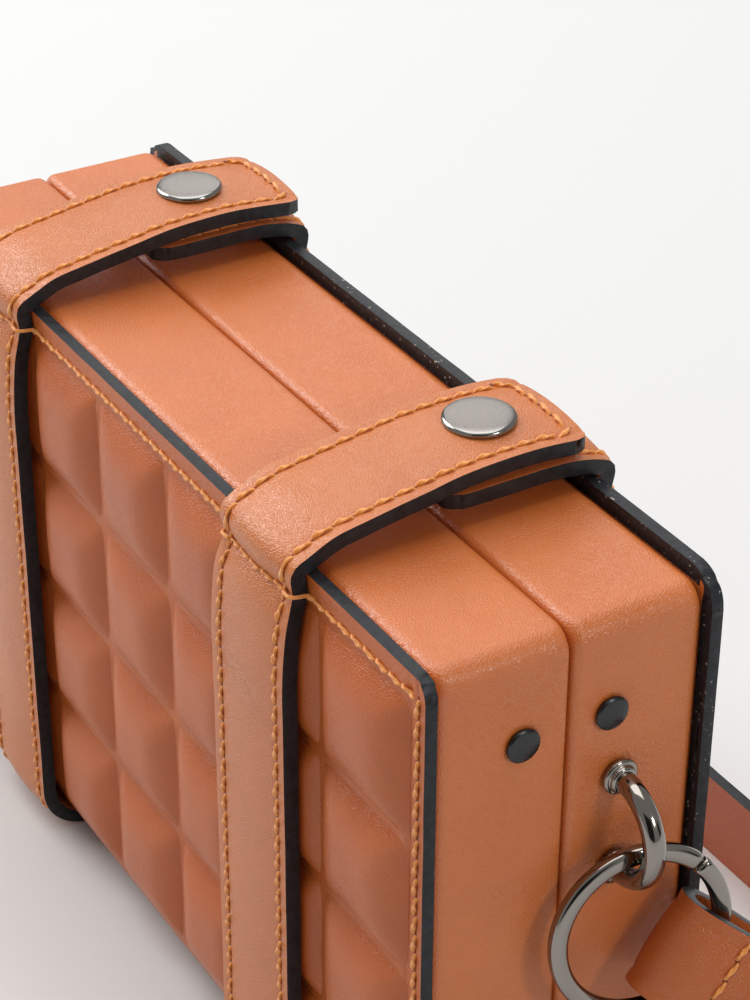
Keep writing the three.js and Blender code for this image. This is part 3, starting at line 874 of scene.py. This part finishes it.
def makeHalfBoxes():
    for half, facing in (("front", 1), ("back", -1)):
        shell = makeHalfBox(half, facing)
        pressEnd(shell, rivets[f"{half}Y"], rivets["z"], rivets["dentRadius"], rivets["dentDepth"])
        if half == "back":
            for sign in (-1, 1):
                z = bail["z"] + sign * bail["spread"]
                pressEnd(shell, bail["y"], z, bail["dentRadius"], bail["dentDepth"])
        settled(shell, f"{half}_half", "leather", f"{half}_half_box")
    print("half boxes made")


# Panels: boards whose lower edge turns under the box, and the padded squares in front
panels = {
    "frontCorner": 3.5,
    "backCorner": 6.5,
    "seamTop": 3.8,
    "seamSide": 2.0,
    "seamStart": 14,
    "grooveDepth": 0.18,
    "grooveWidth": 0.5,
    "gutterDepth": 0.45,
    "gutterWidth": 0.8,
    "uneven": 0.08,
    "boardCells": (120, 150),
    "boardCrowd": 0.85,
    "backRim": 2.6,
    "columns": 7,
    "rows": 4,
    "sideMargin": 4.4,
    "topMargin": 5.5,
    "rowPitch": 27.6,
    "padHeight": 3.7,
    "rampWidth": 9.0,
    "rampPower": 1.9,
    "crownShare": 0.16,
    "mitreRound": 1.6,
    "wrinkle": 0.12,
    "padUneven": 0.14,
    "pressReach": 3,
    "sink": 0.42,
    "cells": 22,
    "padCrowd": 0.8,
    "skin": 0.9,
}


def boardTrack(top, facing):
    half = box["panelThickness"] / 2
    face = box["halfDepth"] - half
    bend = box["panelBend"] - half
    low = box["panelBottom"] + half
    line = [Vector((0, -box["halfDepth"] + box["panelTuck"], low))]
    line.append(Vector((0, -box["halfDepth"] + box["panelTuck"] - 2, low)))
    line += arcLine((-face + bend, low + bend), bend, 270, 180, 10)
    foot = low + bend
    line += [Vector((0, -face, foot + (top - foot) * i / 20)) for i in range(1, 21)]
    line = [Vector((0, facing * place.y, place.z)) for place in line]
    return makeTrack(line, [Vector((facing, 0, 0))] * len(line))


def boardRelief(length, quilted):
    half = box["halfLength"]
    sideSeam = half - panels["seamSide"]
    topSeam = length - panels["seamTop"]
    padSide = half - panels["sideMargin"]
    padTop = length - panels["topMargin"]

    def groove(away):
        return -panels["grooveDepth"] * hump(away, panels["grooveWidth"])

    def relief(u, v):
        height = groove(abs(v) - sideSeam)
        if u > length - 12 and abs(v) < sideSeam:
            height = min(height, groove(u - topSeam))
        if quilted and u < padTop + 3:
            side = abs(abs(v) - padSide)
            above = abs(u - padTop) if abs(v) < padSide else 9
            height -= panels["gutterDepth"] * hump(min(side, above), panels["gutterWidth"])
        return height + panels["uneven"] * noise.noise(Vector((u / 9, v / 9, 1.0)))

    return relief


def makeBoards():
    for half, slot, facing, finish, rim in (
        ("front", "quilted_leather", 1, quiltLeather, 0),
        ("back", "leather", -1, tanLeather, panels["backRim"]),
    ):
        name, body = f"{half}_panel", f"{half}_half"
        track = boardTrack(box[f"{half}Top"], facing)
        length = track["length"]
        relief = boardRelief(length, facing == 1)
        board = flatStrip(
            f"{name}_board", finish, length, 2 * box["halfLength"], box["panelThickness"],
            panels["boardCells"], relief, panels[f"{half}Corner"],
            crowd=panels["boardCrowd"], wrap=0, backRim=rim,
        )
        bendAlong(board, track)
        settled(board, body, slot, name)
        side = box["halfLength"] - panels["seamSide"]
        end = length - panels["seamTop"]
        line = [(panels["seamStart"], side), (end - 1, side), (end, side - 1)]
        line += [(u, -v) for u, v in reversed(line)]
        seam = layStitches(f"{name}_stitches", track, [line], relief, box["panelThickness"])
        settled(seam, body, slot)
    print("boards made")


def padHeightAt(x, z, across, down):
    pitchX = 2 * (box["halfLength"] - panels["sideMargin"]) / panels["columns"]
    fromSide = (1 - abs(across)) * pitchX / 2
    fromEnd = (1 - abs(down)) * panels["rowPitch"] / 2
    gap = fromSide - fromEnd  # a soft smaller-of-two keeps the mitres round
    near = (fromSide + fromEnd - math.sqrt(gap * gap + panels["mitreRound"])) / 2
    ramp = 1 - (1 - min(max(near, 0) / panels["rampWidth"], 1)) ** panels["rampPower"]
    crown = (1 - across**2) * (1 - down**2)
    height = panels["padHeight"] * ((1 - panels["crownShare"]) * ramp + panels["crownShare"] * crown)
    wrinkle = panels["wrinkle"] * noise.noise(Vector((x / 1.6, z / 9, 2.0)))
    wrinkle *= math.exp(-fromEnd / 2.5) * min(fromEnd, 1)
    height += wrinkle + panels["padUneven"] * noise.noise(Vector((x / 13, z / 13, 7.0))) * ramp
    fromStrap = abs(abs(x) - straps["spacing"] / 2) - straps["width"] / 2
    reach = panels["pressReach"]
    if fromStrap < reach:
        ease = min(max((reach - fromStrap) / reach, 0), 1)
        below = min((box["frontTop"] - z) / straps["pinch"], 1)
        room = straps["standOff"] * (3 * below**2 - 2 * below**3) - 0.1
        pressed = min(height, max(room, 0.1))
        height += (pressed - height) * ease
    return height


def makeQuilting():
    columns, rows, cells = panels["columns"], panels["rows"], panels["cells"]
    width = 2 * (box["halfLength"] - panels["sideMargin"])
    pitch = width / columns
    top = box["frontTop"] - panels["topMargin"]
    freshStart()
    bpy.ops.mesh.primitive_grid_add(x_subdivisions=columns * cells, y_subdivisions=rows * cells, size=2)
    quilting = bpy.context.object
    quilting.name = "quilted_padding"
    for vertex in quilting.data.vertices:
        places = []
        for share, count in ((vertex.co.x, columns), (vertex.co.y, rows)):
            t = min(max((share + 1) / 2 * count, 0), count - 1e-6)
            within = t - math.floor(t)
            # cells crowd towards the grooves
            within -= panels["padCrowd"] * math.sin(2 * math.pi * within) / (2 * math.pi)
            places.append((math.floor(t) + within, 2 * within - 1))
        (column, across), (row, down) = places
        x = -width / 2 + column * pitch
        z = top - rows * panels["rowPitch"] + row * panels["rowPitch"]
        out = padHeightAt(x, z, across, down) - panels["sink"]
        vertex.co = Vector((x * mm, seamY - (box["halfDepth"] + out) * mm, z * mm))
    onAllFaces(bpy.ops.mesh.normals_make_consistent, inside=False)
    if quilting.data.polygons[0].normal.y > 0:
        onAllFaces(bpy.ops.mesh.flip_normals)
    applied(quilting, "SOLIDIFY", thickness=panels["skin"] * mm, offset=-1)
    quilting.data.materials.append(quiltLeather)
    settled(quilting, "front_half", "quilted_leather", "front_panel")
    print("quilting made")


# Turned fittings: rings of a profile, radius and height in millimetres


def turned(name, profile, sides=40):
    freshStart()
    bpy.ops.mesh.primitive_circle_add(vertices=sides, radius=profile[0][0] * mm)
    piece = bpy.context.object
    piece.name = name
    bpy.ops.object.mode_set(mode="EDIT")
    bpy.ops.mesh.select_all(action="SELECT")
    bpy.ops.transform.translate(value=(0, 0, profile[0][1] * mm))
    for (radius, height), (nextRadius, nextHeight) in zip(profile, profile[1:]):
        bpy.ops.mesh.extrude_region_move(TRANSFORM_OT_translate={"value": (0, 0, (nextHeight - height) * mm)})
        grow = nextRadius / radius
        bpy.ops.transform.resize(value=(grow, grow, 1), center_override=(0, 0, 0))
    bpy.ops.mesh.select_all(action="SELECT")
    bpy.ops.mesh.remove_doubles(threshold=0.03 * mm)
    bpy.ops.mesh.normals_make_consistent(inside=False)
    bpy.ops.object.mode_set(mode="OBJECT")
    return piece


def stoodAt(piece, place, direction):
    x, y, z = place
    piece.rotation_mode = "QUATERNION"
    piece.rotation_quaternion = Vector(direction).to_track_quat("Z", "Y")
    piece.location = (x * mm, seamY + y * mm, z * mm)
    placed(piece)
    return piece


snaps = {"capRadius": 6.5, "capHeight": 1.6, "shoulder": 1.18, "rimFrom": 0.885, "seat": 0.25, "tilt": 0.02}

# radius and height
rivetProfile = [
    (0.01, -3.9), (2.4, -3.9), (2.4, -3.3), (1.2, -3.2), (1.2, -0.2), (2.9, -0.2), (3.1, 0.02),
    (3.14, 0.22), (3.1, 0.42), (2.95, 0.58),
    *((3.0 * k, 0.62 + 0.4 * (1 - k**2)) for k in (0.9, 0.75, 0.55, 0.35, 0.15)), (0.01, 1.02),
]


def capProfile():
    r, h, low = snaps["capRadius"], snaps["capHeight"], snaps["shoulder"]
    profile = [(0.01, -4.6), (3.9, -4.6), (3.9, -3.9), (1.6, -3.8), (1.6, -0.1), (r * 0.93, -0.1)]
    profile += [(r * 0.985, 0.15), (r, 0.45), (r * 0.99, 0.75), (r * 0.965, 0.98), (r * 0.93, 1.12)]
    profile += [(r * 0.9, low)]
    profile += [(r * k, low + (h - low) * (1 - k**2)) for k in (0.8, 0.65, 0.5, 0.35, 0.2, 0.1)]
    return [*profile, (0.01, h)]


def makeSnapsAndRivets():
    for side, sign in (("left", -1), ("right", 1)):
        lo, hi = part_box(f"snap_cap_{side}")
        face = hi.z / mm - snaps["capHeight"] + snaps["seat"]
        cap = turned(f"snap_cap_{side}_dome", capProfile(), 56)
        place = ((lo.x + hi.x) / 2 / mm, (lo.y + hi.y - 2 * seamY) / 2 / mm, face)
        stoodAt(cap, place, (0, -snaps["tilt"], 1))
        cap.data.materials.append(satinNickel)
        cap.data.materials.append(nickelRim)
        for polygon in cap.data.polygons:
            away = math.hypot(polygon.center.x - (lo.x + hi.x) / 2, polygon.center.y - (lo.y + hi.y) / 2)
            polygon.material_index = 1 if away > snaps["rimFrom"] * snaps["capRadius"] * mm else 0
        settled(cap, "front_half", "satin_nickel", f"snap_cap_{side}")
        for half in ("front", "back"):
            rivet = turned(f"end_rivet_{half}_{side}_dome", rivetProfile, 36)
            stoodAt(rivet, (sign * (box["endX"] + 0.05), rivets[f"{half}Y"], rivets["z"]), (sign, 0, 0))
            rivet.data.materials.append(blackNickel)
            settled(rivet, f"{half}_half", "black_nickel", f"end_rivet_{half}_{side}")
    print("snaps and rivets made")


# Wires: a rod along X, bent along a track. A section's flat sides are its face along the track's width.


def bentWire(name, track, radius, flat, steps, sides=24):
    freshStart()
    piece = rodAlongX(sides, steps)
    piece.name = name
    for vertex in piece.data.vertices:
        x, y, z = vertex.co
        end = 1 - 0.14 * max(0, abs(x) - 1 + 2 / steps) * steps / 2
        level = flat * math.tanh(y / flat * 1.15)
        vertex.co = onTrack(track, (x + 1) / 2 * track["length"], level * radius * end, z * radius * end)
    piece.data.update()
    return piece


def joined(name, pieces):
    freshStart()
    for piece in pieces:
        piece.select_set(True)
    bpy.context.view_layer.objects.active = pieces[0]
    bpy.ops.object.join()
    bpy.context.object.name = name
    return bpy.context.object


ring = {
    "radius": 15.1,
    "wire": 1.7,
    "turn": -10.2,
    "tilt": 7.4,
    "outFromEnd": 7.5,
    "gateStart": -65,
    "gateEnd": 45,
    "gateGap": 0.3,
}

# radius and height
footProfile = [
    (0.01, -3), (1.5, -3), (1.5, 0.1), (2.9, 0.1), (3.2, 0.2), (3.34, 0.45), (3.34, 0.85),
    (3.2, 1.12), (2.95, 1.24), (2.72, 1.26), (2.6, 1.3), (2.55, 1.6), (2.46, 1.95), (2.25, 2.15),
    (1.7, 2.2), (0.01, 2.2),
]


def ringFrame():
    turn, tilt = math.radians(ring["turn"]), math.radians(ring["tilt"])
    axis = Vector((math.cos(turn) * math.cos(tilt), math.sin(turn) * math.cos(tilt), math.sin(tilt)))
    up = (Vector((0, 0, 1)) - axis * axis.z).normalized()
    hang = bail["wire"] + ring["wire"] + box["clearance"]
    centre = Vector((
        box["endX"] + ring["outFromEnd"],
        bail["y"] + ring["radius"] * 0.07,
        bail["z"] - bail["spread"] * 0.82 + hang - ring["radius"] * 0.995,
    ))
    return axis, up, up.cross(axis), centre


def mirroredTrack(places, widths, sign):
    if sign < 0:
        places = [Vector((-place.x, place.y, place.z)) for place in places]
        widths = [Vector((-width.x, width.y, width.z)) for width in widths]
    return makeTrack(places, widths)


def makeBailsAndRings():
    axis, up, across, centre = ringFrame()
    for side, sign in (("left", -1), ("right", 1)):
        arch = []
        for i in range(33):
            a = math.pi * (0.5 - i / 32)
            out = bail["foot"] + (bail["reach"] - bail["foot"]) * math.cos(a)
            arch.append(Vector((box["endX"] + out, bail["y"], bail["z"] + bail["spread"] * math.sin(a))))
        track = mirroredTrack(arch, [Vector((0, 1, 0))] * len(arch), sign)
        pieces = [bentWire("bail_arch", track, bail["wire"], 3, 40)]
        for way in (-1, 1):
            foot = turned("bail_foot", footProfile)
            place = (sign * box["endX"], bail["y"], bail["z"] + way * bail["spread"])
            pieces.append(stoodAt(foot, place, (sign, 0, 0)))
        whole = joined(f"ring_bail_{side}_wire", pieces)
        whole.data.materials.append(gunmetal)
        settled(whole, "back_half", "gunmetal", f"ring_bail_{side}")
        gap = math.degrees(ring["gateGap"] / ring["radius"])
        for name, start, end, steps in (
            ("ring_gate", ring["gateStart"] + gap, ring["gateEnd"] - gap, 40),
            ("ring_body", ring["gateEnd"] + gap, 360 + ring["gateStart"] - gap, 90),
        ):
            angles = [math.radians(start + (end - start) * i / steps) for i in range(steps + 1)]
            places = [centre + (across * math.cos(a) + up * math.sin(a)) * ring["radius"] for a in angles]
            track = mirroredTrack(places, [axis] * len(places), sign)
            wire = bentWire(f"{name}_{side}_wire", track, ring["wire"], 0.95, steps, 28)
            wire.data.materials.append(gunmetal)
            settled(wire, "back_half", "gunmetal", f"{name}_{side}")
    print("bails and rings made")


# Shoulder strap: folded round each ring's wire, then the plain way round behind the bag
shoulder = {
    "width": 18.4,
    "thickness": 2.5,
    "behind": 57,
    "lean": 36,
    "slide": 0.8,
    "flap": 28,
    "opening": 3,
    "foldMiddle": 0.95,
    "pullWay": (0.71, 0.58, -0.41),
    "seamInset": 2.0,
    "seamStart": 54,
    "dome": 0.35,
    "grooveDepth": 0.18,
    "grooveWidth": 0.45,
    "uneven": 0.08,
    "cell": 1.1,
    "cellsAcross": 26,
    "tipRadius": 2.0,
    "paintWidth": 0.4,
    # beyond the box's end, share of the way back, share of the height left, lean in degrees
    "wayBehind": (
        (31, 0.23, 0.66, 32), (43, 0.42, 0.46, 24), (54, 0.62, 0.26, 14), (59, 0.82, 0.09, 5),
        (52, 0.965, 0.01, 0), (38, 1, 0, 0), (10, 1, 0, 0), (-60, 1, 0, 0),
    ),
}


def evenLine(points, steps):
    ends = [2 * points[0] - points[1], *points, 2 * points[-1] - points[-2]]
    line = []
    for a, b, c, d in zip(ends, ends[1:], ends[2:], ends[3:]):
        times = [0.0]
        for p, q in ((a, b), (b, c), (c, d)):
            times.append(times[-1] + max(math.sqrt((q - p).length), 1e-4))
        for i in range(steps):
            t = times[1] + (times[2] - times[1]) * i / steps
            pairs = zip((a, b, c), (b, c, d), times, times[1:])
            first = [p.lerp(q, (t - m) / (n - m)) for p, q, m, n in pairs]
            pairs = zip(first, first[1:], times, times[2:])
            second = [p.lerp(q, (t - m) / (n - m)) for p, q, m, n in pairs]
            line.append(second[0].lerp(second[1], (t - times[1]) / (times[2] - times[1])))
    return [*line, points[-1]]


def shoulderStations():
    axis, up, across, centre = ringFrame()
    lean = math.radians(shoulder["lean"])
    widthWay = Vector((0, math.sin(lean), math.cos(lean)))
    pull = widthWay.cross(axis).normalized()
    middle = centre + pull * ring["radius"] - widthWay * shoulder["slide"]
    out = Vector(shoulder["pullWay"])
    out = (out - widthWay * out.dot(widthWay)).normalized()
    off = out.cross(widthWay)
    apart = (shoulder["thickness"] + box["clearance"]) / 2
    bow = shoulder["opening"] + shoulder["thickness"] / 2
    flap = shoulder["flap"]
    half = [(flap, apart), (flap * 0.55, apart), (flap * 0.3, (apart + bow) / 2), (flap * 0.06, bow)]
    turn = [(place.y, place.z) for place in arcLine((-shoulder["opening"] * 1.45, 0), bow, 270, 90, 4)]
    fold = [(a, -b) for a, b in half] + turn + [(a, b) for a, b in reversed(half[1:3])]
    stations = [(middle + out * a + off * (shoulder["foldMiddle"] + b), shoulder["lean"]) for a, b in fold]
    behind = box["halfDepth"] + shoulder["behind"]
    stand = shoulder["width"] / 2
    for beyond, share, drop, degrees in shoulder["wayBehind"]:
        y = middle.y + share * (behind - middle.y)
        place = Vector((box["halfLength"] + beyond, y, stand + drop * (middle.z - stand)))
        stations.append((place, degrees))
    mirror = [(Vector((-place.x, place.y, place.z)), degrees) for place, degrees in reversed(stations)]
    return stations + mirror


def shoulderRelief(u, v):
    seam = shoulder["width"] / 2 - shoulder["seamInset"]
    inner = min(abs(v) / (seam - 0.5), 1)
    groove = shoulder["grooveDepth"] * hump(abs(v) - seam, shoulder["grooveWidth"])
    uneven = shoulder["uneven"] * noise.noise(Vector((u / 10, v / 7, 9.0)))
    return shoulder["dome"] * (1 - inner**2) - groove + uneven


def makeShoulderStrap():
    stations = shoulderStations()
    steps = 12
    places = evenLine([place for place, degrees in stations], steps)
    widths = []
    for i in range(len(places)):
        k = min(i // steps, len(stations) - 2)
        share = i / steps - k
        degrees = stations[k][1] * (1 - share) + stations[k + 1][1] * share
        angle = math.radians(degrees)
        widths.append(-Vector((0, math.sin(angle), math.cos(angle))))
    track = makeTrack(places, widths)
    length = track["length"]
    strap = flatStrip(
        "shoulder_strap_leather", shoulderLeather, length, shoulder["width"], shoulder["thickness"],
        (int(length / shoulder["cell"]), shoulder["cellsAcross"]), shoulderRelief, shoulder["tipRadius"],
        paintWidth=shoulder["paintWidth"],
    )
    bendAlong(strap, track)
    seam = shoulder["width"] / 2 - shoulder["seamInset"]
    end = shoulder["seamStart"]
    line = [(end, seam), (length - end, seam), (length - end, -seam), (end, -seam), (end, seam)]
    name = "shoulder_strap_stitches"
    stitches = layStitches(name, track, [line], shoulderRelief, shoulder["thickness"])
    for piece in (strap, stitches):
        for vertex in piece.data.vertices:
            vertex.co.z = max(vertex.co.z, 0)
    settled(strap, "back_half", "strap_leather", "shoulder_strap")
    settled(stitches, "back_half", "strap_leather")
    print("shoulder strap made")


def finishKeptNodes():
    for piece in bpy.data.objects:
        if piece.name.startswith(("snap_stud", "hinge_")):
            for slot in piece.material_slots:
                slot.material = satinNickel


makeCamera()
makeStudio()
makeHalfBoxes()
makeBoards()
makeQuilting()
makeStraps()
makeSnapsAndRivets()
makeBailsAndRings()
makeShoulderStrap()
finishKeptNodes()
